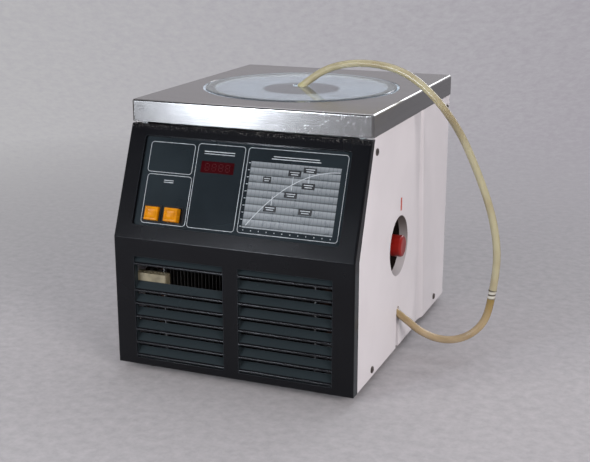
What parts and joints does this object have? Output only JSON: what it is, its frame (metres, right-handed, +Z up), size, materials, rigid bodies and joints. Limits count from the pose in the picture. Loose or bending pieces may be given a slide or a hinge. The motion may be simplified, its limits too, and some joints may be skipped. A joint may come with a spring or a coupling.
{
  "type": "freeze dryer",
  "caption": "Bench-top freeze dryer: steel tray and clear lid over a cold trap, sloped control panel, louvred front, moulded sides and a looped drain hose to the lid.",
  "frame": {"origin": "middle of the machine's footprint, without its hose, on the surface it stands on", "axes": "+Z up, -Y towards the front with the control panel and grilles, +X to the side with the drain knob and hose"},
  "size_m": [0.5481, 0.527, 0.4661],
  "materials": {
    "tray_steel": "satin stainless sheet",
    "port_steel": "turned stainless",
    "lid_acrylic": "clear acrylic, polished edge",
    "gasket_silicone": "moulded silicone",
    "trim_black": "moulded black",
    "front_moulding": "fine-textured near-black moulding",
    "panel_overlay": "screen-printed glossy overlay",
    "display_filter": "dark red filter",
    "button_amber": "amber cap",
    "side_moulding": "white structural moulding",
    "screw_dark": "blackened steel",
    "foot_rubber": "moulded",
    "knob_red": "red moulding",
    "hose_green": "clear vinyl gone pale yellow-green",
    "hose_tan": "clear vinyl stained tan",
    "joiner_white": "moulded nylon",
    "fitting_nylon": "moulded nylon",
    "valve_brass": "machined",
    "galvanised_sheet": "folded galvanised sheet",
    "rear_paint": "grey powder coat",
    "foam": "poured foam",
    "copper": "drawn copper tube",
    "fin_aluminium": "thin stamped sheet",
    "compressor_paint": "black paint",
    "motor_paint": "grey paint",
    "shaft_steel": "ground",
    "rotor_aluminium": "pressed sheet",
    "board_green": "solder mask",
    "transformer_iron": "varnished laminations",
    "terminal_ivory": "moulded ivory",
    "inlet_black": "moulded"
  },
  "bodies": {
    "machine": {"base_pan": "galvanised_sheet", "capillary_tube": "copper", "chamber_flange": "tray_steel", "chamber_floor": "tray_steel", "chamber_insulation": "foam", "chamber_lid": "lid_acrylic", "chamber_wall": "tray_steel", "chassis_fasteners": "screw_dark", "compressor": "compressor_paint", "compressor_grommets": "foot_rubber", "condenser_end_plates": "galvanised_sheet", "condenser_fins": "fin_aluminium", "condenser_tubes": "copper", "control_board": "board_green", "control_fascia": "panel_overlay", "cross_rails": "galvanised_sheet", "discharge_line": "copper", "display_board": "board_green", "display_window": "display_filter", "drain_pipe": "copper", "drain_valve": "valve_brass", "electronics_plate": "galvanised_sheet", "evaporator_coil": "copper", "fan_motor": "motor_paint", "fan_shroud": "galvanised_sheet", "feet": "foot_rubber", "filter_drier": "copper", "front_bezel": "front_moulding", "hose_joiner": "joiner_white", "hose_lower": "hose_tan", "hose_upper": "hose_green", "left_side_panel": "side_moulding", "lid_gasket": "gasket_silicone", "lid_nipple": "fitting_nylon", "liquid_line": "copper", "mains_inlet": "inlet_black", "motor_bracket": "galvanised_sheet", "mouth_trim": "trim_black", "outlet_pipe": "copper", "panel_screws": "screw_dark", "rear_panel": "rear_paint", "right_side_panel": "side_moulding", "side_frame_left": "galvanised_sheet", "side_frame_right": "galvanised_sheet", "suction_line": "copper", "switch_housing_left": "trim_black", "switch_housing_right": "trim_black", "terminal_block": "terminal_ivory", "top_cover": "tray_steel", "transformer": "transformer_iron", "vacuum_port": "port_steel", "valve_well": "trim_black"},
    "fan": {"fan_rotor": "rotor_aluminium", "motor_shaft": "shaft_steel"},
    "left_button": {"button_left": "button_amber"},
    "right_button": {"button_right": "button_amber"},
    "drain_handle": {"drain_knob": "knob_red", "valve_spindle": "valve_brass"}
  },
  "joints": [
    {"name": "fan_spin", "type": "hinge", "parent": "machine", "child": "fan", "pos_m": [0, -0.1912, 0.099], "axis": [0, 1, 0], "continuous": true},
    {"name": "left_button_press", "type": "slide", "parent": "machine", "child": "left_button", "axis": [0, 0.9205, -0.3908], "range_m": [-0.005, 0.0015], "stiffness_N_per_m": 150},
    {"name": "right_button_press", "type": "slide", "parent": "machine", "child": "right_button", "axis": [0, 0.9205, -0.3908], "range_m": [0, 0.006], "stiffness_N_per_m": 150},
    {"name": "drain_knob_turn", "type": "hinge", "parent": "machine", "child": "drain_handle", "pos_m": [0.13, -0.0481, 0.1843], "axis": [1, 0, 0], "range_deg": [0, 90]}
  ]
}
